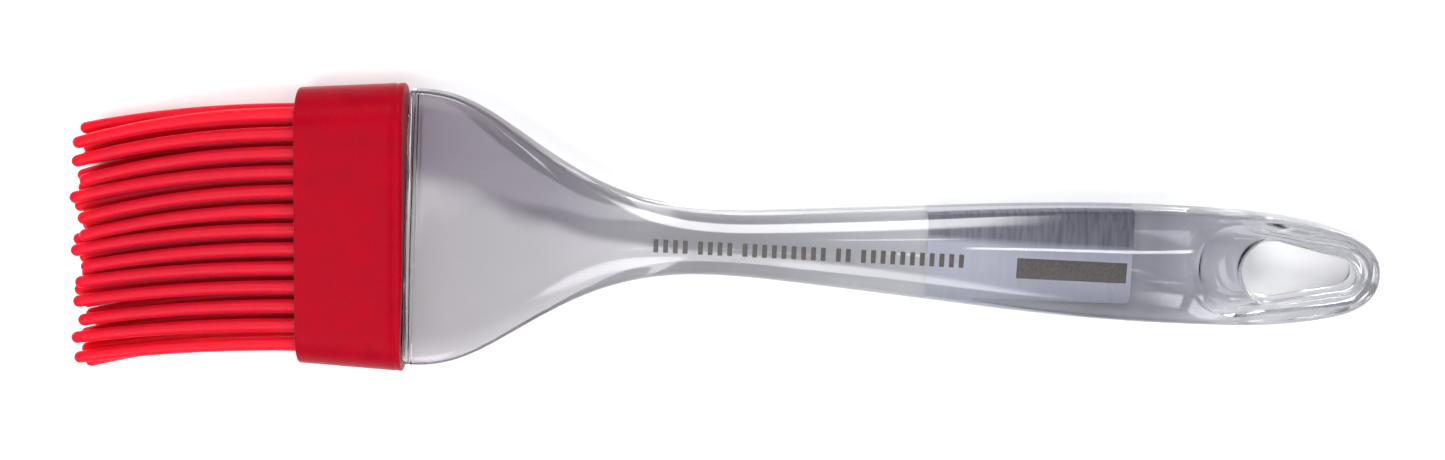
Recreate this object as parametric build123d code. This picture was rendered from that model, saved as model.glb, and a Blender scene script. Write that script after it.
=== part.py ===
"""Pastry brush: a clear moulded handle with a pull-off silicone brush head.

Frame: +X runs from the bristle tips to the hanging hole, +Y across the width, +Z up through the
thickness. The origin is the middle of the sleeve's flat underside. All sizes are in millimetres.
"""

from build123d import *
from math import degrees, sin
import os

os.makedirs("parts", exist_ok=True)

# ---- sleeve, the body of the brush head ----
SLEEVE_LENGTH = 17.7
SLEEVE_WIDTH_FRONT = 46.0
SLEEVE_WIDTH_BACK = 48.2
SLEEVE_THICKNESS = 13.0
SLEEVE_SIDE_RADIUS = 6.0
SLEEVE_FRONT_RADIUS = 0.4
SLEEVE_RIM_RADIUS = 0.6
SLEEVE_FRONT_X = -SLEEVE_LENGTH / 2
SLEEVE_BACK_X = SLEEVE_LENGTH / 2
MID_Z = SLEEVE_THICKNESS / 2

# ---- bristles, in rows stacked through the thickness, every second row set over by half a pitch ----
ROW_COUNT = 4
LONG_ROW_BRISTLES = 13
BRISTLE_PITCH = 3.19
ROW_SPACING = 2.9
BRISTLE_DIAMETER = 2.0
BRISTLE_LENGTH = 36.6
BRISTLE_LENGTH_SPREAD = 0.6
BRISTLE_BEND_RADIUS = 130.0
BRISTLE_LEAN = 1.5
BRISTLE_LEAN_SPREAD = 0.5
BRISTLE_END_RADIUS = 0.9
BRISTLE_ROOT_GAP = 0.1

# ---- handle ----
SHOULDER_GAP = 0.2
SHOULDER_X = SLEEVE_BACK_X + SHOULDER_GAP
SHOULDER_EDGE = 0.3
HANDLE_LENGTH = 160.6
# Cross-sections along the handle: distance from the shoulder, half width, half thickness at the
# edge, half thickness at the crown, and the radius of the four corners.
SECTIONS = [
    (0.0, 23.0, 2.4, 4.4, 0.6),
    (5.0, 22.7, 2.45, 4.5, 0.6),
    (10.0, 21.2, 2.6, 4.6, 0.6),
    (16.0, 17.9, 2.85, 4.8, 0.7),
    (22.0, 14.0, 3.15, 5.0, 0.7),
    (28.0, 10.5, 3.45, 5.25, 0.8),
    (35.0, 7.5, 3.7, 5.5, 0.9),
    (42.0, 5.8, 3.85, 5.75, 1.0),
    (50.0, 5.15, 3.9, 5.9, 1.1),
    (64.0, 5.7, 4.0, 6.05, 1.2),
    (84.0, 7.25, 4.0, 6.2, 1.3),
    (104.0, 8.75, 4.0, 6.3, 1.2),
    (120.0, 9.4, 3.9, 6.2, 1.1),
    (132.0, 9.35, 3.9, 5.6, 0.9),
    (140.0, 9.1, 3.9, 4.9, 0.8),
    (147.0, 8.35, 3.9, 4.5, 0.8),
    (152.5, 7.3, 3.8, 4.3, 0.8),
    (156.4, 6.0, 3.7, 4.1, 0.8),
    (158.8, 4.4, 3.6, 3.95, 0.8),
    (160.0, 2.9, 3.4, 3.75, 0.8),
    (HANDLE_LENGTH, 1.8, 3.1, 3.5, 0.8),
]

# ---- tongue, in front of the shoulder, and the socket it fills in the sleeve ----
TONGUE_LENGTH = 13.2
TONGUE_WIDTH = 40.4
TONGUE_THICKNESS = 5.8
TONGUE_CORNER = 2.4
TONGUE_NOSE = 0.8
TONGUE_ROOT = 1.5
TONGUE_FIT = 0.1
TONGUE_END_GAP = 0.4

# ---- hanging hole, egg shaped, and the dish around it on both faces ----
HOLE = (143.0, 5.0, 154.2, 2.6)
HOLE_RIM_RADIUS = 0.8
DISH = (137.0, 6.9, 154.2, 4.5)
DISH_FLOOR = 3.3
DISH_WALL_SLOPE = 25.0
CUT_HEIGHT = 10.0

# ---- label on the underside and printing on the top face ----
FILM_START = 28.0
FILM_END = 140.0
LABEL_START = 86.5
LABEL_LENGTH = 34.0
LABEL_WIDTH = 12.4
LABEL_THICKNESS = 0.12
INK_THICKNESS = 0.06
INK_LINE_START = 41.0
INK_LINE_ACROSS = -0.2
INK_LINE_HEIGHT = 2.2
INK_DASHES = [5.6, 5.6, 13.6, 2.4, 16.8]
INK_DASH_GAP = 1.7
INK_BAR_START = 100.5
INK_BAR_LENGTH = 18.0
INK_BAR_HEIGHT = 3.4
INK_BAR_ACROSS = -0.9

RED = (0.75, 0.07, 0.16)
CLEAR = (0.78, 0.78, 0.84)
WHITE = (0.9, 0.9, 0.93)
BLACK = (0.1, 0.1, 0.1)


def handle_x(along):
    """The frame's X at a distance along the handle from its shoulder."""
    return SHOULDER_X + along


def handle_section(along, half_width, edge, crown, corner):
    """One cross-section of the handle: crowned faces, straight sides and rounded corners."""
    with BuildSketch(Plane.YZ.offset(handle_x(along))) as section:
        with BuildLine():
            Line((half_width, MID_Z - edge), (half_width, MID_Z + edge))
            ThreePointArc((half_width, MID_Z + edge), (0, MID_Z + crown), (-half_width, MID_Z + edge))
            Line((-half_width, MID_Z + edge), (-half_width, MID_Z - edge))
            ThreePointArc((-half_width, MID_Z - edge), (0, MID_Z - crown), (half_width, MID_Z - edge))
        make_face()
        fillet(section.vertices(), corner)
    return section.sketch


def egg(wide_at, wide_radius, narrow_at, narrow_radius):
    """An egg outline around the handle's axis: a large circle, a small one and their tangents."""
    large = Pos(handle_x(wide_at), 0) * Circle(wide_radius)
    small = Pos(handle_x(narrow_at), 0) * Circle(narrow_radius)
    return make_hull(large.edges() + small.edges())


def make_tongue():
    """The flat tongue that the sleeve is stretched over."""
    length = TONGUE_LENGTH + TONGUE_ROOT
    centre_x = SHOULDER_X + TONGUE_ROOT - length / 2
    block = Pos(centre_x, 0, MID_Z) * Box(length, TONGUE_WIDTH, TONGUE_THICKNESS)
    block = fillet(block.edges().filter_by(Axis.X), TONGUE_CORNER)
    return fillet(block.faces().sort_by(Axis.X)[0].edges(), TONGUE_NOSE)


def make_handle():
    """Tongue, paddle, neck, grip and hanging loop as one moulding."""
    body = loft([handle_section(*section) for section in SECTIONS])
    body = fillet(body.faces().sort_by(Axis.X)[0].edges(), SHOULDER_EDGE)
    dish = extrude(egg(*DISH), CUT_HEIGHT, taper=-DISH_WALL_SLOPE)
    upper_dish = Pos(0, 0, MID_Z + DISH_FLOOR) * dish
    lower_dish = Pos(0, 0, MID_Z - DISH_FLOOR) * mirror(dish, Plane.XY)
    hole = Pos(0, 0, MID_Z) * extrude(egg(*HOLE), CUT_HEIGHT, both=True)
    body = body - upper_dish - lower_dish - hole
    hole_edges = [edge for edge in body.edges() if is_hole_edge(edge)]
    return fillet(hole_edges, HOLE_RIM_RADIUS) + make_tongue()


def is_hole_edge(edge):
    """True for the edges where the hole's wall meets the floors of the dishes."""
    box = edge.bounding_box()
    on_floor = abs(abs(box.center().Z - MID_Z) - DISH_FLOOR) < 0.01 and box.size.Z < 0.01
    wide_at, wide_radius, narrow_at, narrow_radius = HOLE
    low_x = handle_x(wide_at - wide_radius) - 0.01
    high_x = handle_x(narrow_at + narrow_radius) + 0.01
    reach_y = wide_radius + 0.01
    inside = box.min.X > low_x and box.max.X < high_x and max(-box.min.Y, box.max.Y) < reach_y
    return on_floor and inside


def make_sleeve():
    """The silicone sleeve: near-round sides, a closed front wall and a socket for the tongue."""
    front, back = SLEEVE_WIDTH_FRONT / 2, SLEEVE_WIDTH_BACK / 2
    corners = [
        (SLEEVE_FRONT_X, -front),
        (SLEEVE_BACK_X, -back),
        (SLEEVE_BACK_X, back),
        (SLEEVE_FRONT_X, front),
    ]
    plan = make_face(Polyline(*corners, close=True))
    body = extrude(plan, SLEEVE_THICKNESS)
    flat_faces = [body.faces().sort_by(Axis.Z)[index] for index in (0, -1)]
    long_edges = [
        edge for face in flat_faces for edge in face.edges() if abs((edge @ 1 - edge @ 0).X) > SLEEVE_LENGTH / 2
    ]
    body = fillet(long_edges, SLEEVE_SIDE_RADIUS)
    body = fillet(body.faces().sort_by(Axis.X)[0].edges(), SLEEVE_FRONT_RADIUS)
    body = fillet(body.faces().sort_by(Axis.X)[-1].edges(), SLEEVE_RIM_RADIUS)
    depth = TONGUE_LENGTH - SHOULDER_GAP + TONGUE_END_GAP
    width = TONGUE_WIDTH + 2 * TONGUE_FIT
    thickness = TONGUE_THICKNESS + 2 * TONGUE_FIT
    socket = Pos(SLEEVE_BACK_X - depth / 2, 0, MID_Z) * Box(depth, width, thickness)
    socket = fillet(socket.edges().filter_by(Axis.X), TONGUE_CORNER + TONGUE_FIT)
    return body - socket


def row_height(row):
    """The Z of a row's bristles, counted from the top row."""
    return MID_Z + ROW_SPACING * ((ROW_COUNT - 1) / 2 - row)


def row_size(row):
    """Every second row sits between its neighbours and has one bristle fewer."""
    return LONG_ROW_BRISTLES - row % 2


def make_bristle(row, place):
    """One bristle: a round rod bent in a long arc towards -Y, with domed ends."""
    length = BRISTLE_LENGTH + BRISTLE_LENGTH_SPREAD * sin(2.4 * place + 1.7 * row)
    lean = BRISTLE_LEAN + BRISTLE_LEAN_SPREAD * sin(1.3 * place + 2.1 * row)
    bend_axis = Axis((0, -BRISTLE_BEND_RADIUS, 0), (0, 0, 1))
    rod = revolve(Plane.YZ * Circle(BRISTLE_DIAMETER / 2), bend_axis, degrees(length / BRISTLE_BEND_RADIUS))
    rod = fillet(rod.edges().filter_by(GeomType.CIRCLE).group_by(SortBy.LENGTH)[0], BRISTLE_END_RADIUS)
    across = BRISTLE_PITCH * ((row_size(row) - 1) / 2 - place)
    return Pos(SLEEVE_FRONT_X - BRISTLE_ROOT_GAP, across, row_height(row)) * Rot(0, 0, lean) * rod


def make_film(handle, thickness):
    """A film all round the handle's grip, from which labels and printing are cut."""
    grown = [
        (along, half_width + thickness, edge + thickness, crown + thickness, corner + thickness)
        for along, half_width, edge, crown, corner in SECTIONS
        if FILM_START <= along <= FILM_END
    ]
    return loft([handle_section(*section) for section in grown]) - handle


def patch(film, side, along, length, width, across=0.0):
    """The part of a film inside a rectangle on the top (side 1) or bottom (side -1) face."""
    height = SLEEVE_THICKNESS / 2
    window = Pos(handle_x(along) + length / 2, across, MID_Z + side * height) * Box(length, width, height)
    return film & window


def make_printing(film):
    """A plain printed line of dashes and a plain bar on the top face."""
    marks = []
    along = INK_LINE_START
    for dash in INK_DASHES:
        marks.append(patch(film, 1, along, dash, INK_LINE_HEIGHT, INK_LINE_ACROSS))
        along += dash + INK_DASH_GAP
    marks.append(patch(film, 1, INK_BAR_START, INK_BAR_LENGTH, INK_BAR_HEIGHT, INK_BAR_ACROSS))
    return Compound([solid for mark in marks for solid in mark.solids()])


def write(node, shape, colour):
    """Names and colours one sub-part and writes its STEP file."""
    shape.label = node
    shape.color = Color(*colour)
    export_step(shape, f"parts/{node}.step")


if __name__ == "__main__":
    handle = make_handle()
    write("handle", handle, CLEAR)
    write("sleeve", make_sleeve(), RED)
    for row in range(ROW_COUNT):
        for place in range(row_size(row)):
            write(f"bristle_{'abcd'[row]}{place + 1:02d}", make_bristle(row, place), RED)
    label = patch(make_film(handle, LABEL_THICKNESS), -1, LABEL_START, LABEL_LENGTH, LABEL_WIDTH)
    write("back_label", label, WHITE)
    write("front_printing", make_printing(make_film(handle, INK_THICKNESS)), BLACK)
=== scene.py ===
"""The looks of a pastry brush: clear moulded handle, silicone sleeve and bristles, on a pale floor.

Lengths in this script are in millimetres unless a name says otherwise, and scaled to metres when a
mesh is made. "Along" is the distance along the handle from its shoulder, "across" is the frame's Y,
and heights are counted from the brush's mid-plane.
"""

import math
import random

import bmesh
import bpy
import numpy as np
from mathutils import Matrix, Vector


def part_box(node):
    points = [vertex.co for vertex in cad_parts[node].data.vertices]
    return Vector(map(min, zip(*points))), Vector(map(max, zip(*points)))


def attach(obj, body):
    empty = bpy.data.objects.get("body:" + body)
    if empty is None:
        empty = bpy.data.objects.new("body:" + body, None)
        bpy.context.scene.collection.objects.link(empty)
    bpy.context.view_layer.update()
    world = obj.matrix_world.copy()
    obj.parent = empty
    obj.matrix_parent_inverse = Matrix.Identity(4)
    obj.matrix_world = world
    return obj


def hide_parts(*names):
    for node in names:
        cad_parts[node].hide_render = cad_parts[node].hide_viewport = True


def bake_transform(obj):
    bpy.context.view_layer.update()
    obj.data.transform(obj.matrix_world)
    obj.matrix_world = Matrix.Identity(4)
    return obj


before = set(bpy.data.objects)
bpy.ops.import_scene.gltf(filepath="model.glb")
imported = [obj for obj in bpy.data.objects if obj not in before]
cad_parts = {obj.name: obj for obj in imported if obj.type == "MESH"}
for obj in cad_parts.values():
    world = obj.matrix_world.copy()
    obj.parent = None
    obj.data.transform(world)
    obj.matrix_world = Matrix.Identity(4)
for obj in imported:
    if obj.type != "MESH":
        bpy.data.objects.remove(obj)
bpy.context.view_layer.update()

MM = 0.001

# ---- places taken from the frame, in millimetres ----
sleeve_low, sleeve_high = (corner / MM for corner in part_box("sleeve"))
handle_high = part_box("handle")[1] / MM
label_low, label_high = (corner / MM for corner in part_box("back_label"))
SHOULDER_GAP = 0.2
SHOULDER_X = sleeve_high.x + SHOULDER_GAP
HANDLE_LENGTH = handle_high.x - SHOULDER_X
MID_Z = (sleeve_low.z + sleeve_high.z) / 2

# ---- handle ----
# Sections: along, half width, half thickness at the edge and at the crown, corner radius.
HANDLE_SECTIONS = [
    (0.0, 23.0, 2.4, 4.4, 0.6),
    (5.0, 22.7, 2.45, 4.5, 0.6),
    (10.0, 21.2, 2.6, 4.6, 0.6),
    (16.0, 17.9, 2.85, 4.8, 0.7),
    (22.0, 14.0, 3.15, 5.0, 0.7),
    (28.0, 10.5, 3.45, 5.25, 0.8),
    (35.0, 7.5, 3.7, 5.5, 0.9),
    (42.0, 5.8, 3.85, 5.75, 1.0),
    (50.0, 5.15, 3.9, 5.9, 1.1),
    (64.0, 5.7, 4.0, 6.05, 1.2),
    (84.0, 7.25, 4.0, 6.2, 1.3),
    (104.0, 8.75, 4.0, 6.3, 1.2),
    (120.0, 9.4, 3.9, 6.2, 1.1),
    (132.0, 9.35, 3.9, 5.6, 0.9),
    (140.0, 9.1, 3.9, 4.9, 0.8),
    (147.0, 8.35, 3.9, 4.5, 0.8),
    (154.0, 7.6, 3.8, 4.2, 0.8),
    (HANDLE_LENGTH, 6.9, 3.7, 4.0, 0.8),
]
TAIL_FROM = 147.0
TAIL_OUTLINE = [(152.5, 7.3), (156.4, 6.0), (158.8, 4.4), (160.2, 2.4)]
OUTLINE_STEP = 0.7
CORNER_STEPS = 7
WALL_STEPS = 4
CROWN_STEPS = 36
JUNCTION_ALONG = 126.0
SHOULDER_EDGE = 0.3
# Groove round the paddle just behind the shoulder: distance along and depth.
GROOVE = [(0.9, 0.0), (1.02, 0.15), (1.14, 0.0)]
TONGUE = (20.2, 2.9, 2.9, 2.4)
TONGUE_LENGTH = 13.2
TONGUE_NOSE = 0.8

# ---- hanging hole and dish: along, radius of the wide end, along, radius of the narrow end ----
HOLE = (143.0, 5.0, 154.2, 2.6)
DISH = (137.0, 7.7, 154.2, 4.9)
DISH_FLOOR = 3.3
HOLE_EDGE = 0.8
RIM_EDGE = 0.15
FLOOR_STEPS = 10
LIP_STEPS = 4
SHARP_ANGLE = math.radians(38)

# ---- label under the grip and printing on its top face ----
FILM_STEP = 0.6
LABEL_SUNK = 0.04
LABEL_THICKNESS = 0.08
LABEL_CORNER = 1.0
INK_SUNK = 0.02
INK_THICKNESS = 0.03
INK_CORNER = 0.12
INK_LINE_START = 41.0
INK_LINE_HEIGHT = 2.2
INK_LINE_ACROSS = -0.2
INK_BLOCK = 0.8
INK_BLOCK_GAP = 0.8
INK_GROUP_GAP = 0.9
INK_GROUPS = [4, 4, 9, 2, 11]
INK_BAR_START = 100.5
INK_BAR_LENGTH = 18.0
INK_BAR_HEIGHT = 3.4
INK_BAR_ACROSS = -0.9

# ---- sleeve ----
SLEEVE_HALF_FRONT = 23.0
SLEEVE_HALF_BACK = 24.1
SLEEVE_SIDE = 6.0
SLEEVE_FRONT_EDGE = 0.3
SLEEVE_RIM = 0.6
# Groove that sets off the sleeve's lip: distance from the back edge and depth.
LIP_GROOVE = [(1.75, 0.0), (1.6, 0.06), (1.45, 0.1), (1.3, 0.06), (1.15, 0.0)]
SLEEVE_CORNER_STEPS = 14
SLEEVE_FLAT_STEPS = 40
SOCKET = (20.3, 3.0, 2.5)
SOCKET_MOUTH = 0.3
SOCKET_DEPTH = 13.4

# How the soft head sits on the handle: turned about the shoulder, shifted across, and how near
# its back rim comes to the shoulder.
HEAD_TURN = math.radians(1.6)
HEAD_SHIFT = -0.2
RIM_CLEARANCE = 0.05

# ---- bristles ----
ROWS = (("a", 13), ("b", 12), ("c", 13), ("d", 12))
BRISTLE_RADIUS_CAD = 1.0
BRISTLE_ROOT = 1.15
BRISTLE_TIP = 1.0
BRISTLE_SIDES = 16
BRISTLE_EXTRA = 0.7
LENGTH_SPREAD = 0.5
# Sweep of the tips towards -Y at four places across each row, from its +Y end.
SWEEPS = {
    "a": (5.6, 5.3, 3.4, 2.9),
    "b": (5.7, 5.2, 3.7, 3.2),
    "c": (4.1, 4.2, 4.4, 4.9),
    "d": (4.4, 4.3, 4.1, 4.0),
}
SWEEP_SPREAD = 0.2
# Bristles set over towards -Y (positive) or +Y (negative) in their row. This opens slits, and keeps
# b01, b12 and d09 clear of the neighbours that were moved.
SIDEWAYS = {
    "bristle_b01": -1.2,
    "bristle_b02": -1.5,
    "bristle_c03": 1.4,
    "bristle_b10": 1.1,
    "bristle_d09": -0.5,
    "bristle_d10": -1.0,
    "bristle_b11": 1.2,
    "bristle_b12": 0.6,
    "bristle_d11": -0.6,
}
# Share of a bristle's sweep that starts straight away, and how sharply the rest curves in.
SWEEP_START = 0.16
SWEEP_POWER = 2.1
LIFT_SPREAD = 0.25
ROOT_SUNK = 0.5
FLARE = 0.06
FLARE_REACH = 0.5
draws = random.Random(11)

# ---- colours ----
SLEEVE_RED = (0.32, 0.0006, 0.010)
BRISTLE_RED = (0.60, 0.001, 0.018)
# Painted shade in the plastic's grey-lavender tint along the handle: darker in the wide paddle, at the
# loop's start and at the tail, for the shaded floor seen through them.
PAINTED_SHADE_CAST = [
    (0.0, (0.40, 0.362, 0.41)),
    (22.0, (0.45, 0.43, 0.47)),
    (40.0, (0.62, 0.615, 0.64)),
    (84.0, (0.70, 0.705, 0.73)),
    (124.0, (0.46, 0.46, 0.50)),
    (134.0, (0.62, 0.62, 0.66)),
    (HANDLE_LENGTH, (0.51, 0.51, 0.54)),
]
LABEL_COLOUR = (0.65, 0.665, 0.77)
INK_COLOUR = (0.03, 0.026, 0.024)

# ---- camera, surround and floor ----
CAMERA_TILT = math.radians(9.5)
CAMERA_ROLL = math.radians(2.8)
CAMERA_LENS = 64.8
CAMERA_DISTANCE = 0.431
CAMERA_TARGET = (61.2, 2.0, MID_Z)
WORLD_LOW, WORLD_HIGH = 0.05, 0.78
WORLD_FROM, WORLD_TO = 0.15, 0.75
FLOOR_HALF = 3.0
FLOOR_Z = -0.0001
FLOOR_COLOUR = (0.97, 0.97, 0.975)


def spline(at, values):
    """A function that runs smoothly through values at the given places (a natural cubic spline)."""
    at, values = np.array(at, float), np.array(values, float)
    steps, count = np.diff(at), len(at)
    matrix, right = np.eye(count), np.zeros(count)
    slopes = np.diff(values) / steps
    for i in range(1, count - 1):
        matrix[i, i - 1 : i + 2] = steps[i - 1], 2 * (steps[i - 1] + steps[i]), steps[i]
        right[i] = 6 * (slopes[i] - slopes[i - 1])
    bends = np.linalg.solve(matrix, right)

    def value(x):
        x = np.clip(x, at[0], at[-1])
        i = np.clip(np.searchsorted(at, x) - 1, 0, count - 2)
        step, before, after = steps[i], x - at[i], at[i + 1] - x
        cubic = (bends[i] * after**3 + bends[i + 1] * before**3) / (6 * step)
        line = (values[i] / step - bends[i] * step / 6) * after
        return cubic + line + (values[i + 1] / step - bends[i + 1] * step / 6) * before

    return value


class Shell:
    """Collects grids of points and welds them into one closed mesh."""

    def __init__(self):
        self.points, self.faces = [], []

    def grid(self, points, closed=False):
        """Adds a grid of quads. closed joins the last row to the first."""
        rows, columns = points.shape[:2]
        first = len(self.points)
        self.points.extend(map(tuple, points.reshape(-1, 3)))
        for i in range(rows if closed else rows - 1):
            a, b = first + i * columns, first + (i + 1) % rows * columns
            for j in range(columns - 1):
                self.faces.append((a + j, a + j + 1, b + j + 1, b + j))

    def mirrored_grid(self, points, closed=False):
        """Adds a grid and its mirror image below the mid-plane."""
        self.grid(points, closed)
        self.grid(points * (1, 1, -1), closed)

    def cap(self, loop):
        """Closes a flat loop of points with one face."""
        first = len(self.points)
        self.points.extend(map(tuple, loop))
        self.faces.append(tuple(range(first, first + len(loop))))

    def finish(self, name, origin, weld=0.002):
        """Makes the object, moved from its own origin to metres in the frame."""
        mesh = bpy.data.meshes.new(name)
        scaled = (np.array(self.points) + origin) * MM
        mesh.from_pydata(scaled.tolist(), [], self.faces)
        work = bmesh.new()
        work.from_mesh(mesh)
        bmesh.ops.remove_doubles(work, verts=work.verts, dist=weld * MM)
        bmesh.ops.dissolve_degenerate(work, edges=work.edges, dist=weld * MM / 4)
        bmesh.ops.recalc_face_normals(work, faces=work.faces)
        for face in work.faces:
            face.smooth = True
        open_edges = sum(not edge.is_manifold for edge in work.edges)
        if open_edges:
            print(f"NOTE {name} has {open_edges} open or doubled edges")
        work.to_mesh(mesh)
        work.free()
        mesh.set_sharp_from_angle(angle=SHARP_ANGLE)
        piece = bpy.data.objects.new(name, mesh)
        bpy.context.scene.collection.objects.link(piece)
        return piece


# ---------------------------------------------------------------- handle

station_along = [row[0] for row in HANDLE_SECTIONS]
section_width, section_edge, section_crown, section_corner = (
    spline(station_along, [row[column] for row in HANDLE_SECTIONS]) for column in (1, 2, 3, 4)
)


def face_height(along, across):
    """Height of the handle's crowned face above the mid-plane, before corners are rounded."""
    share = np.clip(across / section_width(along), -1, 1)
    edge = section_edge(along)
    return edge + (section_crown(along) - edge) * (1 - share**2)


def handle_outline():
    """The handle's plan from the shoulder's +Y corner round the tail, evenly stepped."""
    upper = [(row[0], row[1]) for row in HANDLE_SECTIONS if row[0] <= TAIL_FROM] + TAIL_OUTLINE
    points = np.array(upper + [(HANDLE_LENGTH, 0.0)] + [(x, -y) for x, y in reversed(upper)])
    chords = np.concatenate([[0], np.cumsum(np.linalg.norm(np.diff(points, axis=0), axis=1))])
    along, across = spline(chords, points[:, 0]), spline(chords, points[:, 1])
    fine = np.linspace(0, chords[-1] / 2, 6001)
    curve = np.stack([along(fine), across(fine)], axis=1)
    lengths = np.concatenate([[0], np.cumsum(np.linalg.norm(np.diff(curve, axis=0), axis=1))])
    steps = np.linspace(0, lengths[-1], int(lengths[-1] / OUTLINE_STEP) + 1)
    at = np.interp(steps, lengths, fine)
    small = 0.01
    ahead = np.stack([along(at + small), across(at + small)], axis=1)
    behind = np.stack([along(at - small), across(at - small)], axis=1)
    tangent = ahead - behind
    tangent /= np.linalg.norm(tangent, axis=1)[:, None]
    tangent[-1] = 0, -1
    inward = np.stack([tangent[:, 1], -tangent[:, 0]], axis=1)
    half = np.stack([along(at), across(at)], axis=1)
    half[-1] = HANDLE_LENGTH, 0
    both = np.concatenate([half, half[-2::-1] * (1, -1)])
    return both, np.concatenate([inward, inward[-2::-1] * (1, -1)])


def egg_distance(points, egg):
    """Signed distance from plan points to an egg outline, negative inside."""
    wide_at, wide, narrow_at, narrow = egg
    span = narrow_at - wide_at
    x, y = points[..., 0] - wide_at, np.abs(points[..., 1])
    slope = (wide - narrow) / span
    side = math.sqrt(1 - slope**2)
    place = -slope * y + side * x
    flank = y * side + x * slope - wide
    flank = np.where(place < 0, np.hypot(x, y) - wide, flank)
    return np.where(place > side * span, np.hypot(x - span, y) - narrow, flank)


def crossing(centre, direction, egg, reach):
    """How far along each ray from the centre an egg outline is crossed."""
    low, high = np.zeros(len(direction)), np.full(len(direction), reach)
    for _ in range(40):
        middle = (low + high) / 2
        inside = egg_distance(centre + direction * middle[:, None], egg) < 0
        low, high = np.where(inside, middle, low), np.where(inside, high, middle)
    return low


def dished_height(points):
    """Height of the face around the hole: dish floor, ramp, lip and the hole's rounded edge."""
    face = face_height(points[..., 0], points[..., 1])
    from_hole = egg_distance(points, HOLE)
    to_rim = -egg_distance(points, DISH)
    out = np.clip(from_hole - HOLE_EDGE, 0, None)
    share = np.clip(out / np.maximum(out + to_rim, 1e-6), 0, 1)
    ramp = 0.25 * share + 0.75 * share**3
    height = np.where(to_rim > 0, DISH_FLOOR + (face - DISH_FLOOR) * ramp, face)
    fall = np.clip(1 - from_hole / HOLE_EDGE, 0, 1)
    return height - HOLE_EDGE * (1 - np.sqrt(1 - fall**2))


def corner_band(outline, inward, steps=CORNER_STEPS):
    """The rounded corner between wall and face, from the wall inwards, for each outline point."""
    corner = section_corner(outline[:, 0])
    angles = np.linspace(0, math.pi / 2, steps + 1)
    inset = corner[:, None] * (1 - np.cos(angles))
    plan = outline[:, None, :] + inward[:, None, :] * inset[..., None]
    height = face_height(plan[..., 0], plan[..., 1]) - corner[:, None] * (1 - np.sin(angles))
    return np.concatenate([plan, height[..., None]], axis=2)


def between(first, last, steps):
    """Evenly spaced points from each first point to each last point."""
    share = np.linspace(0, 1, steps + 1)[None, :, None]
    return first[:, None, :] * (1 - share) + last[:, None, :] * share


def front_loop(band_left, band_right, face_row):
    """The closed section at the shoulder, from the +Y wall over the top face and back below."""
    top = np.concatenate([band_left[:-1], face_row, band_right[::-1][1:]])
    wall = between(top[-1:], top[-1:] * (1, 1, -1), WALL_STEPS)[0]
    below = top[::-1] * (1, 1, -1)
    return np.concatenate([top, wall[1:-1], below, wall[::-1][1:-1] * (1, -1, 1)])


def loop_normals(loop):
    """Outward normals of a closed section, in its own plane."""
    tangent = np.roll(loop, -1, axis=0) - np.roll(loop, 1, axis=0)
    normal = np.stack([np.zeros(len(loop)), tangent[:, 2], -tangent[:, 1]], axis=1)
    normal /= np.linalg.norm(normal, axis=1)[:, None]
    outward = np.sign((normal * (loop * (0, 1, 1))).sum(axis=1).sum())
    return normal * outward


def rounded_end(loop, radius, along, steps=5):
    """Sections that round a closed section's end over towards -X, the smallest one first."""
    normal = loop_normals(loop)
    rows = []
    for angle in np.linspace(0, math.pi / 2, steps + 1):
        row = loop - normal * radius * (1 - math.sin(angle))
        row[:, 0] = along - radius * math.cos(angle)
        rows.append(row)
    return np.array(rows)


def inset_loop(loop, along, depth):
    """A closed section drawn in by depth and set at a distance along."""
    moved = loop - loop_normals(loop) * depth
    moved[:, 0] = along
    return moved


def plain_section(along, half_width, edge, crown, corner, steps=CORNER_STEPS):
    """A closed section with the same points as the shoulder's, for the tongue."""
    angles = np.linspace(0, math.pi / 2, steps + 1)
    across = half_width - corner * (1 - np.cos(angles))
    height = edge + (crown - edge) * (1 - (across / half_width) ** 2) - corner * (1 - np.sin(angles))
    left = np.stack([np.full(steps + 1, along), across, height], axis=1)
    row = between(left[-1:], left[-1:] * (1, -1, 1), CROWN_STEPS)[0]
    row[:, 2] = edge + (crown - edge) * (1 - (row[:, 1] / half_width) ** 2)
    return front_loop(left, left * (1, -1, 1), row)


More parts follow.
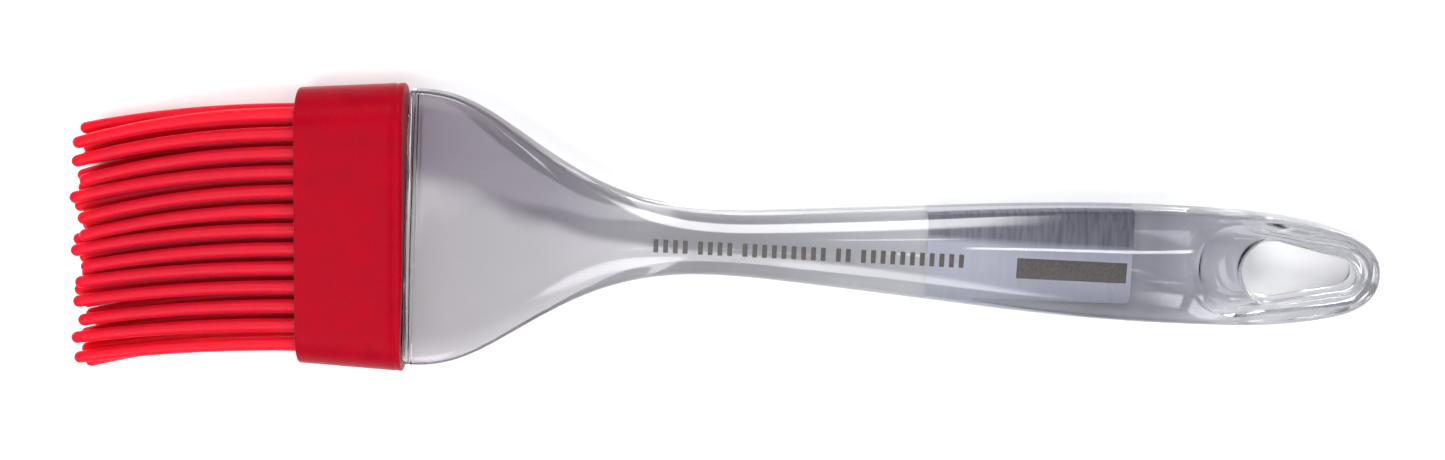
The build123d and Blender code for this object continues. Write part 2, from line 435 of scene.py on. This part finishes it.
def make_handle():
    """The clear moulding: tongue, shoulder, paddle, neck, grip and hanging loop."""
    shell = Shell()
    outline, inward = handle_outline()
    start = int(np.searchsorted(outline[: len(outline) // 2, 0], GROOVE[-1][0])) + 1
    outline, inward = outline[start : len(outline) - start], inward[start : len(inward) - start]
    band = corner_band(outline, inward)
    shell.mirrored_grid(band)
    shell.grid(between(band[:, 0], band[:, 0] * (1, 1, -1), WALL_STEPS))

    # Top and bottom faces of the paddle, neck and grip: straight rows across.
    tip = len(outline) // 2
    junction = int(np.searchsorted(outline[:tip, 0], JUNCTION_ALONG))
    rows = between(band[: junction + 1, -1], band[::-1][: junction + 1, -1], CROWN_STEPS)
    rows[:, 1:-1, 2] = face_height(rows[:, 1:-1, 0], rows[:, 1:-1, 1])
    shell.mirrored_grid(rows)

    # Faces of the hanging loop: rays from inside the hole to the rounded corner's inner edge.
    inner = band[junction : len(outline) - junction, -1]
    ring = np.concatenate([inner, rows[-1][::-1][1:-1]])
    centre = np.array([HOLE[0], 0.0])
    reach = np.linalg.norm(ring[:, :2] - centre, axis=1)
    direction = (ring[:, :2] - centre) / reach[:, None]
    hole = crossing(centre, direction, HOLE, 30.0)
    rim = np.minimum(crossing(centre, direction, DISH, 30.0), reach - 2 * RIM_EDGE)
    angles = np.linspace(0, math.pi / 2, CORNER_STEPS + 1)
    edge_nodes = hole[:, None] + HOLE_EDGE * (1 - np.cos(angles))
    floor_share = np.linspace(0, 1, FLOOR_STEPS + 1)[1:]
    floor_end = rim - RIM_EDGE
    floor_nodes = edge_nodes[:, -1:] + (floor_end[:, None] - edge_nodes[:, -1:]) * floor_share
    lip_share = np.linspace(0, 1, LIP_STEPS + 1)
    lip_start = rim + RIM_EDGE
    lip_nodes = lip_start[:, None] + (reach - lip_start)[:, None] * lip_share
    nodes = np.concatenate([edge_nodes, floor_nodes, rim[:, None], lip_nodes], axis=1)
    plan = centre + direction[:, None, :] * nodes[..., None]
    loop_faces = np.concatenate([plan, dished_height(plan)[..., None]], axis=2)
    loop_faces[:, -1] = ring
    shell.mirrored_grid(loop_faces, closed=True)
    shell.grid(between(loop_faces[:, 0], loop_faces[:, 0] * (1, 1, -1), WALL_STEPS), closed=True)

    # Shoulder and tongue: closed sections, from the tongue's nose back to the paddle's first row.
    first = front_loop(band[0], band[-1], rows[0])
    shoulder = rounded_end(first, SHOULDER_EDGE, SHOULDER_EDGE)
    groove = [inset_loop(first, along, depth) for along, depth in GROOVE]
    nose_at = TONGUE_NOSE - TONGUE_LENGTH
    nose = rounded_end(plain_section(nose_at, *TONGUE), TONGUE_NOSE, nose_at)
    loops = np.concatenate([nose, [plain_section(0.0, *TONGUE)], shoulder, groove, [first]])
    shell.grid(np.swapaxes(loops, 0, 1), closed=True)
    shell.cap(nose[0])
    return shell.finish("handle_moulding", (SHOULDER_X, 0, MID_Z))


# ---------------------------------------------------------------- films on the handle

def add_film(shell, side, low, high, inner, outer, corner):
    """A thin patch on the top (side 1) or bottom (side -1) face, between two corners of its plan."""
    (along_low, across_low), (along_high, across_high) = low, high
    length = along_high - along_low
    steps = max(2, int(length / FILM_STEP))
    inside = np.linspace(corner, length - corner, steps + 1)
    ends = np.linspace(0, corner, 6)[:-1]
    offsets = np.concatenate([ends, inside, length - ends[::-1]])
    to_end = np.clip(np.minimum(offsets, length - offsets), 0, corner)
    pull = corner - np.sqrt(np.maximum(corner**2 - (corner - to_end) ** 2, 0))
    pull = np.minimum(pull, (across_high - across_low) / 2 - 0.02)
    columns = max(2, int((across_high - across_low) / FILM_STEP))
    share = np.linspace(0, 1, columns + 1)[None, :]
    across = (across_low + pull)[:, None] * (1 - share) + (across_high - pull)[:, None] * share
    along = np.repeat((along_low + offsets)[:, None], columns + 1, axis=1)
    face = face_height(along, across)
    sheets = [np.stack([along, across, side * (face + lift)], axis=2) for lift in (inner, outer)]
    for sheet in sheets:
        shell.grid(sheet)
    for edge in ((0, slice(None)), (-1, slice(None)), (slice(None), 0), (slice(None), -1)):
        shell.grid(np.stack([sheets[0][edge], sheets[1][edge]], axis=1))


def make_label():
    """The plain label on the underside of the grip, seen through the plastic."""
    shell = Shell()
    low, high = (label_low.x - SHOULDER_X, label_low.y), (label_high.x - SHOULDER_X, label_high.y)
    add_film(shell, -1, low, high, -LABEL_SUNK, LABEL_THICKNESS, LABEL_CORNER)
    return shell.finish("back_label_film", (SHOULDER_X, 0, MID_Z))


def make_printing():
    """Plain printed marks on the top face: groups of small blocks in a line, then one solid bar."""
    shell = Shell()
    along = INK_LINE_START
    for count in INK_GROUPS:
        for _ in range(count):
            width, half = INK_BLOCK, INK_LINE_HEIGHT / 2
            low, high = (along, INK_LINE_ACROSS - half), (along + width, INK_LINE_ACROSS + half)
            add_film(shell, 1, low, high, -INK_SUNK, INK_THICKNESS, INK_CORNER)
            along += width + INK_BLOCK_GAP
        along += INK_GROUP_GAP
    half = INK_BAR_HEIGHT / 2
    low = (INK_BAR_START, INK_BAR_ACROSS - half)
    high = (INK_BAR_START + INK_BAR_LENGTH, INK_BAR_ACROSS + half)
    add_film(shell, 1, low, high, -INK_SUNK, INK_THICKNESS, INK_CORNER)
    return shell.finish("front_printing_marks", (SHOULDER_X, 0, MID_Z))


# ---------------------------------------------------------------- brush head

def box_loop(x, half_width, half_height, corner):
    """A closed rounded rectangle in the YZ plane, always with the same number of points."""
    angles = np.linspace(0, math.pi / 2, SLEEVE_CORNER_STEPS + 1)
    across = half_width - corner * (1 - np.cos(angles))
    height = half_height - corner * (1 - np.sin(angles))
    left = np.stack([np.full(len(angles), x), across, height], axis=1)
    row = between(left[-1:], left[-1:] * (1, -1, 1), SLEEVE_FLAT_STEPS)[0]
    return front_loop(left, left * (1, -1, 1), row)


def sleeve_loop(x, inset=0.0):
    """The sleeve's outer section at x, drawn in by inset."""
    share = (x - sleeve_low.x) / (sleeve_high.x - sleeve_low.x)
    half_width = SLEEVE_HALF_FRONT + (SLEEVE_HALF_BACK - SLEEVE_HALF_FRONT) * share
    half_height = sleeve_high.z - MID_Z
    return box_loop(x, half_width - inset, half_height - inset, SLEEVE_SIDE - inset)


def skewed(points):
    """Points of the head turned and shifted a little on the tongue, as the soft sleeve sits.

    The rim that the turn would push into the handle's shoulder is pressed flat against it.
    """
    turned = np.array(points, float)
    along, across = turned[..., 0] - SHOULDER_X, turned[..., 1]
    cosine, sine = math.cos(HEAD_TURN), math.sin(HEAD_TURN)
    x, y = along * cosine - across * sine, along * sine + across * cosine
    turned[..., 0] = np.minimum(x, -RIM_CLEARANCE) + SHOULDER_X
    turned[..., 1] = y + HEAD_SHIFT
    return turned


def make_sleeve():
    """The silicone sleeve: rounded edges, a slight flare and a real socket for the tongue."""
    quarter = np.linspace(0, math.pi / 2, 8)
    front, back = sleeve_low.x, sleeve_high.x
    edge, rim = SLEEVE_FRONT_EDGE, SLEEVE_RIM
    loops = [sleeve_loop(front + edge * (1 - math.cos(a)), edge * (1 - math.sin(a))) for a in quarter]
    loops += [sleeve_loop(x) for x in np.linspace(front + 1.0, back - LIP_GROOVE[0][0], 16)]
    loops += [sleeve_loop(back - distance, depth) for distance, depth in LIP_GROOVE[1:]]
    loops += [sleeve_loop(back - rim * (1 - math.sin(a)), rim * (1 - math.cos(a))) for a in quarter]
    loops = [skewed(loop) for loop in loops]
    mouth = (size + SOCKET_MOUTH for size in SOCKET)
    loops.append(box_loop(back, *mouth))
    loops.append(box_loop(back - SOCKET_MOUTH, *SOCKET))
    loops += [box_loop(x, *SOCKET) for x in np.linspace(back - 1.5, back - SOCKET_DEPTH, 4)]
    shell = Shell()
    shell.grid(np.swapaxes(np.array(loops), 0, 1), closed=True)
    shell.cap(loops[0])
    shell.cap(loops[-1])
    return shell.finish("silicone_sleeve_body", (0, 0, MID_Z))


def make_bristle(node, letter, place, count):
    """One tapered bristle with a domed tip, swept towards -Y, with its root sunk in the sleeve."""
    low, high = (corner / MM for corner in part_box(node))
    root = np.array([sleeve_low.x, high.y - BRISTLE_RADIUS_CAD, (low.z + high.z) / 2])
    length = high.x - low.x + BRISTLE_EXTRA + draws.uniform(-1, 1) * LENGTH_SPREAD
    share = place / (count - 1)
    nudge = SIDEWAYS.get(node, 0.0)
    sweep = np.interp(share, np.linspace(0, 1, 4), SWEEPS[letter]) + nudge
    sweep += draws.uniform(-1, 1) * SWEEP_SPREAD
    lift = draws.uniform(-1, 1) * LIFT_SPREAD
    dome = np.linspace(0, math.pi / 2, 6)[1:]
    body = np.concatenate([[-ROOT_SUNK, 0.0], np.linspace(0.5, length - BRISTLE_TIP, 26)])
    at = np.concatenate([body, length - BRISTLE_TIP * (1 - np.sin(dome))])
    taper = np.clip(at / length, 0, 1)
    radius = BRISTLE_ROOT + (BRISTLE_TIP - BRISTLE_ROOT) * taper
    radius += FLARE * np.exp(-np.clip(at, 0, None) / FLARE_REACH)
    radius[len(body) :] *= np.cos(dome)
    u = np.clip(at, 0, None) / length
    across = -sweep * (SWEEP_START * u + (1 - SWEEP_START) * u**SWEEP_POWER)
    height = lift * u**2
    stretch = np.cumsum(np.concatenate([[0], np.hypot(np.diff(at), np.diff(across)) - np.diff(at)]))
    centre = root + np.stack([-(at - stretch), across, height], axis=1)
    tangent = np.gradient(centre, axis=0)
    tangent /= np.linalg.norm(tangent, axis=1)[:, None]
    side = np.cross(tangent, (0, 0, 1.0))
    side /= np.linalg.norm(side, axis=1)[:, None]
    over = np.cross(side, tangent)
    turns = np.linspace(0, 2 * math.pi, BRISTLE_SIDES, endpoint=False)
    ring = np.cos(turns)[:, None, None] * side + np.sin(turns)[:, None, None] * over
    points = centre + ring * radius[:, None]
    points = skewed(points)
    shell = Shell()
    shell.grid(points, closed=True)
    shell.cap(points[:, 0])
    piece = shell.finish(f"silicone_{node}", (0, 0, 0))
    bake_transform(piece)
    return piece


# ---------------------------------------------------------------- materials

def new_material(name, colour, roughness):
    """A material with one Principled shader. Returns the material, its nodes, links and shader."""
    material = bpy.data.materials.new(name)
    material.use_nodes = True
    nodes, links = material.node_tree.nodes, material.node_tree.links
    shader = nodes["Principled BSDF"]
    shader.inputs["Base Color"].default_value = (*colour, 1)
    shader.inputs["Roughness"].default_value = roughness
    return material, nodes, links, shader


def noise(nodes, links, scale, detail=3.0, stretch=(1, 1, 1)):
    """A noise texture in the piece's own coordinates; stretch makes it streaky."""
    place = nodes.new("ShaderNodeTexCoord")
    mapping = nodes.new("ShaderNodeMapping")
    mapping.inputs["Scale"].default_value = stretch
    texture = nodes.new("ShaderNodeTexNoise")
    texture.inputs["Scale"].default_value = scale
    texture.inputs["Detail"].default_value = detail
    links.new(place.outputs["Object"], mapping.inputs["Vector"])
    links.new(mapping.outputs["Vector"], texture.inputs["Vector"])
    return texture.outputs["Fac"]


def ramp(nodes, links, factor, low, high, first, last):
    """Colours between two values of a factor."""
    node = nodes.new("ShaderNodeValToRGB")
    node.color_ramp.elements[0].position = low
    node.color_ramp.elements[1].position = high
    node.color_ramp.elements[0].color = (*first, 1)
    node.color_ramp.elements[1].color = (*last, 1)
    links.new(factor, node.inputs["Fac"])
    return node.outputs["Color"]


def spread(nodes, links, factor, low, high):
    """A factor mapped onto a range of plain numbers."""
    node = nodes.new("ShaderNodeMapRange")
    node.inputs["From Min"].default_value = 0.3
    node.inputs["From Max"].default_value = 0.7
    node.inputs["To Min"].default_value = low
    node.inputs["To Max"].default_value = high
    links.new(factor, node.inputs["Value"])
    return node.outputs["Result"]


def bump(nodes, links, factor, distance, strength, normal=None):
    """A bump from a factor, distance in metres, laid over an earlier one if given."""
    node = nodes.new("ShaderNodeBump")
    node.inputs["Distance"].default_value = distance
    node.inputs["Strength"].default_value = strength
    links.new(factor, node.inputs["Height"])
    if normal is not None:
        links.new(normal, node.inputs["Normal"])
    return node.outputs["Normal"]


def tone(colour, factor):
    """A colour made lighter or darker."""
    return tuple(min(1, part * factor) for part in colour)


def multiply(nodes, links, first, second):
    """The product of two colours."""
    node = nodes.new("ShaderNodeMix")
    node.data_type = "RGBA"
    node.blend_type = "MULTIPLY"
    node.inputs["Factor"].default_value = 1.0
    links.new(first, node.inputs[6])
    links.new(second, node.inputs[7])
    return node.outputs[2]


def silicone(name, colour, roughness, gloss, grain, depth, glow, sheen):
    """Matte silicone: a fine moulded grain, faint mottling and patches that are a little shinier.

    grain is the noise scale of the surface, depth its relief in metres, and glow how much light
    passes through the rubber.
    """
    material, nodes, links, shader = new_material(name, colour, roughness)
    mottle = noise(nodes, links, 260, 4)
    fine = noise(nodes, links, grain, 2)
    cloudy = ramp(nodes, links, mottle, 0.3, 0.7, tone(colour, 0.95), tone(colour, 1.1))
    speckled = ramp(nodes, links, fine, 0.35, 0.65, (0.84, 0.84, 0.84), (1, 1, 1))
    links.new(multiply(nodes, links, cloudy, speckled), shader.inputs["Base Color"])
    links.new(spread(nodes, links, mottle, roughness - 0.05, roughness + 0.06), shader.inputs["Roughness"])
    wavy = bump(nodes, links, mottle, 0.00006, 0.25)
    links.new(bump(nodes, links, fine, depth, 0.5, wavy), shader.inputs["Normal"])
    shader.inputs["Specular IOR Level"].default_value = gloss
    shader.inputs["Sheen Weight"].default_value = sheen
    shader.inputs["Sheen Roughness"].default_value = 0.4
    shader.inputs["Subsurface Weight"].default_value = glow
    shader.inputs["Subsurface Radius"].default_value = (1.0, 0.12, 0.08)
    shader.inputs["Subsurface Scale"].default_value = 0.012
    return material


def painted_shade_along(nodes, links):
    """Painted shade in the plastic's tint: deeper in the wide paddle and the tail than in the slim neck."""
    place = nodes.new("ShaderNodeTexCoord")
    parts = nodes.new("ShaderNodeSeparateXYZ")
    share = nodes.new("ShaderNodeMapRange")
    share.inputs["From Min"].default_value = SHOULDER_X * MM
    share.inputs["From Max"].default_value = (SHOULDER_X + HANDLE_LENGTH) * MM
    shade_ramp = nodes.new("ShaderNodeValToRGB")
    stops = shade_ramp.color_ramp.elements
    while len(stops) < len(PAINTED_SHADE_CAST):
        stops.new(0.5)
    for stop, (along, colour) in zip(stops, PAINTED_SHADE_CAST):
        stop.position = along / HANDLE_LENGTH
        stop.color = (*colour, 1)
    links.new(place.outputs["Object"], parts.inputs["Vector"])
    links.new(parts.outputs["X"], share.inputs["Value"])
    links.new(share.outputs["Result"], shade_ramp.inputs["Fac"])
    return shade_ramp.outputs["Color"]


def clear_plastic():
    """Clear polystyrene with a grey-lavender tint, painted shade along it, faint flow marks and hairline
    scratches.
    """
    material, nodes, links, shader = new_material("clear_plastic", PAINTED_SHADE_CAST[0][1], 0.0)
    shader.inputs["Transmission Weight"].default_value = 1.0
    shader.inputs["IOR"].default_value = 1.5
    flow = noise(nodes, links, 30, 0, (0.5, 1, 1))
    scratch = noise(nodes, links, 900, 2, (0.06, 1, 1))
    streaked = ramp(nodes, links, flow, 0.3, 0.7, (0.96, 0.96, 0.96), (1, 1, 1))
    scratched = ramp(nodes, links, scratch, 0.3, 0.7, (0.97, 0.97, 0.97), (1, 1, 1))
    marked = multiply(nodes, links, streaked, scratched)
    # The base colour holds painted shade: the tint is darker in the wide paddle, at the loop's start and at
    # the tail.
    links.new(multiply(nodes, links, marked, painted_shade_along(nodes, links)), shader.inputs["Base Color"])
    links.new(bump(nodes, links, flow, 0.0001, 0.02), shader.inputs["Normal"])
    return material


def paper():
    """Label paper with a satin coat: one half pale, the other greyer with fine streaks across."""
    material, nodes, links, shader = new_material("label_paper", LABEL_COLOUR, 0.5)
    streak = noise(nodes, links, 1500, 3, (1, 0.05, 1))
    place = nodes.new("ShaderNodeTexCoord")
    parts = nodes.new("ShaderNodeSeparateXYZ")
    half = nodes.new("ShaderNodeMapRange")
    half.inputs["From Min"].default_value = 0.0005
    half.inputs["From Max"].default_value = 0.0015
    links.new(place.outputs["Object"], parts.inputs["Vector"])
    links.new(parts.outputs["Y"], half.inputs["Value"])
    streaks = ramp(nodes, links, streak, 0.35, 0.65, (0.27, 0.27, 0.29), (0.44, 0.44, 0.46))
    pale = ramp(nodes, links, streak, 0.35, 0.65, (0.94, 0.94, 0.95), (1, 1, 1))
    mixed = nodes.new("ShaderNodeMix")
    mixed.data_type = "RGBA"
    links.new(half.outputs["Result"], mixed.inputs["Factor"])
    links.new(pale, mixed.inputs[6])
    links.new(streaks, mixed.inputs[7])
    plain = nodes.new("ShaderNodeRGB")
    plain.outputs["Color"].default_value = (*LABEL_COLOUR, 1)
    links.new(multiply(nodes, links, mixed.outputs[2], plain.outputs["Color"]), shader.inputs["Base Color"])
    links.new(bump(nodes, links, streak, 0.00001, 0.3), shader.inputs["Normal"])
    return material


def ink():
    """Printing ink, a little worn and uneven."""
    material, nodes, links, shader = new_material("printing_ink", INK_COLOUR, 0.45)
    worn = noise(nodes, links, 2600, 3)
    colour = ramp(nodes, links, worn, 0.3, 0.75, tone(INK_COLOUR, 0.8), tone(INK_COLOUR, 1.9))
    links.new(colour, shader.inputs["Base Color"])
    links.new(spread(nodes, links, worn, 0.35, 0.6), shader.inputs["Roughness"])
    return material


def dress(piece, material, nodes, body=None):
    """Gives a piece its material, hides the CAD nodes that it stands for and puts it on its body."""
    piece.data.materials.clear()
    piece.data.materials.append(material)
    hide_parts(*nodes)
    if body:
        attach(piece, body)


dress(make_handle(), clear_plastic(), ["handle"], "handle")
dress(make_label(), paper(), ["back_label"], "handle")
dress(make_printing(), ink(), ["front_printing"], "handle")
sleeve_silicone = silicone(
    "sleeve_silicone",
    SLEEVE_RED,
    roughness=0.36,
    gloss=0.022,
    grain=3000,
    depth=0.00003,
    glow=0.15,
    sheen=0.12,
)
bristle_silicone = silicone(
    "bristle_silicone",
    BRISTLE_RED,
    roughness=0.48,
    gloss=0.15,
    grain=4200,
    depth=0.00001,
    glow=1.0,
    sheen=0.05,
)
dress(make_sleeve(), sleeve_silicone, ["sleeve"], "head")
for letter, count in ROWS:
    for place in range(count):
        node = f"bristle_{letter}{place + 1:02d}"
        bristle = make_bristle(node, letter, place, count)
        dress(bristle, bristle_silicone, [node])


# ---------------------------------------------------------------- floor, light and camera

def make_floor():
    """A plain pale floor under the brush."""
    mesh = bpy.data.meshes.new("floor")
    half = FLOOR_HALF
    corners = [(-half, -half, 0), (half, -half, 0), (half, half, 0), (-half, half, 0)]
    mesh.from_pydata(corners, [], [(0, 1, 2, 3)])
    floor = bpy.data.objects.new("floor", mesh)
    floor.location = (0.06, 0, FLOOR_Z)
    bpy.context.scene.collection.objects.link(floor)
    material, nodes, links, shader = new_material("floor_card", FLOOR_COLOUR, 0.8)
    grain = noise(nodes, links, 400, 3)
    colour = ramp(nodes, links, grain, 0.3, 0.7, tone(FLOOR_COLOUR, 0.985), FLOOR_COLOUR)
    links.new(colour, shader.inputs["Base Color"])
    shader.inputs["Specular IOR Level"].default_value = 0.1
    mesh.materials.append(material)


def fade_edges(light, feather):
    """Fades a softbox towards its edges, as the cloth of a real one does."""
    light.use_nodes = True
    nodes, links = light.node_tree.nodes, light.node_tree.links
    across = nodes.new("ShaderNodeNewGeometry")
    parts = nodes.new("ShaderNodeSeparateXYZ")
    links.new(across.outputs["Parametric"], parts.inputs["Vector"])
    total = None
    for axis, size in (("X", light.size), ("Y", light.size_y)):
        for low, high in ((0.0, feather / size), (1.0, 1.0 - feather / size)):
            edge = nodes.new("ShaderNodeMapRange")
            edge.interpolation_type = "SMOOTHSTEP"
            edge.inputs["From Min"].default_value = low
            edge.inputs["From Max"].default_value = high
            links.new(parts.outputs[axis], edge.inputs["Value"])
            if total is None:
                total = edge.outputs["Result"]
                continue
            product = nodes.new("ShaderNodeMath")
            product.operation = "MULTIPLY"
            links.new(total, product.inputs[0])
            links.new(edge.outputs["Result"], product.inputs[1])
            total = product.outputs["Value"]
    links.new(total, nodes["Emission"].inputs["Strength"])


def area_light(name, place, size, radiance, aim=None, turn=0.0, feather=0.0):
    """A rectangular softbox. It faces aim, or straight down, turned by degrees; feather is in metres."""
    light = bpy.data.lights.new(name, "AREA")
    light.shape = "RECTANGLE"
    light.size, light.size_y = size
    light.energy = radiance * math.pi * size[0] * size[1]
    if feather:
        fade_edges(light, feather)
    lamp = bpy.data.objects.new(name, light)
    lamp.location = place
    lamp.rotation_euler = (0, 0, math.radians(turn))
    if aim:
        lamp.rotation_euler = (Vector(aim) - Vector(place)).to_track_quat("-Z", "Y").to_euler()
    bpy.context.scene.collection.objects.link(lamp)


def make_world(low, high):
    """A soft surround, brighter overhead than at the horizon."""
    world = bpy.data.worlds.new("studio")
    world.use_nodes = True
    nodes, links = world.node_tree.nodes, world.node_tree.links
    place = nodes.new("ShaderNodeTexCoord")
    parts = nodes.new("ShaderNodeSeparateXYZ")
    height = nodes.new("ShaderNodeMapRange")
    height.interpolation_type = "SMOOTHSTEP"
    height.inputs["From Min"].default_value = WORLD_FROM
    height.inputs["From Max"].default_value = WORLD_TO
    height.inputs["To Min"].default_value = low
    height.inputs["To Max"].default_value = high
    links.new(place.outputs["Generated"], parts.inputs["Vector"])
    links.new(parts.outputs["Z"], height.inputs["Value"])
    links.new(height.outputs["Result"], nodes["Background"].inputs["Strength"])
    nodes["Background"].inputs["Color"].default_value = (0.97, 0.98, 1.0, 1)
    bpy.context.scene.world = world


def make_camera():
    """The camera above the brush, leaning a little from +Y, with the handle falling to the right."""
    back = Vector((0, math.sin(CAMERA_TILT), math.cos(CAMERA_TILT)))
    level = Vector((0, math.cos(CAMERA_TILT), -math.sin(CAMERA_TILT)))
    turn = CAMERA_ROLL
    right = Vector((math.cos(turn), 0, 0)) + level * math.sin(turn)
    up = level * math.cos(turn) - Vector((math.sin(turn), 0, 0))
    data = bpy.data.cameras.new("camera")
    data.lens, data.sensor_width = CAMERA_LENS, 36
    data.clip_start, data.clip_end = 0.01, 20
    camera = bpy.data.objects.new("camera", data)
    place = Vector(CAMERA_TARGET) * MM + back * CAMERA_DISTANCE
    camera.matrix_world = Matrix.Translation(place) @ Matrix((right, up, back)).transposed().to_4x4()
    bpy.context.scene.collection.objects.link(camera)
    bpy.context.scene.camera = camera


make_floor()
area_light("key", (-0.02, 0.70, 0.78), (0.5, 0.45), 14.0, aim=(-0.02, 0.0, 0.0), feather=0.1)
area_light("panel", (-0.125, -0.50, 0.80), (0.50, 1.0), 7.0, turn=22.0, feather=0.07)
area_light("strip_long", (0.1225, 0.26, 0.80), (0.08, 0.05), 9.0, turn=15.0, feather=0.02)
area_light("strip_short", (0.27, 0.09, 0.80), (0.22, 0.05), 13.0, feather=0.01)
make_world(WORLD_LOW, WORLD_HIGH)
make_camera()
view = bpy.context.scene.view_settings
view.view_transform = "Standard"
view.exposure = 0.0
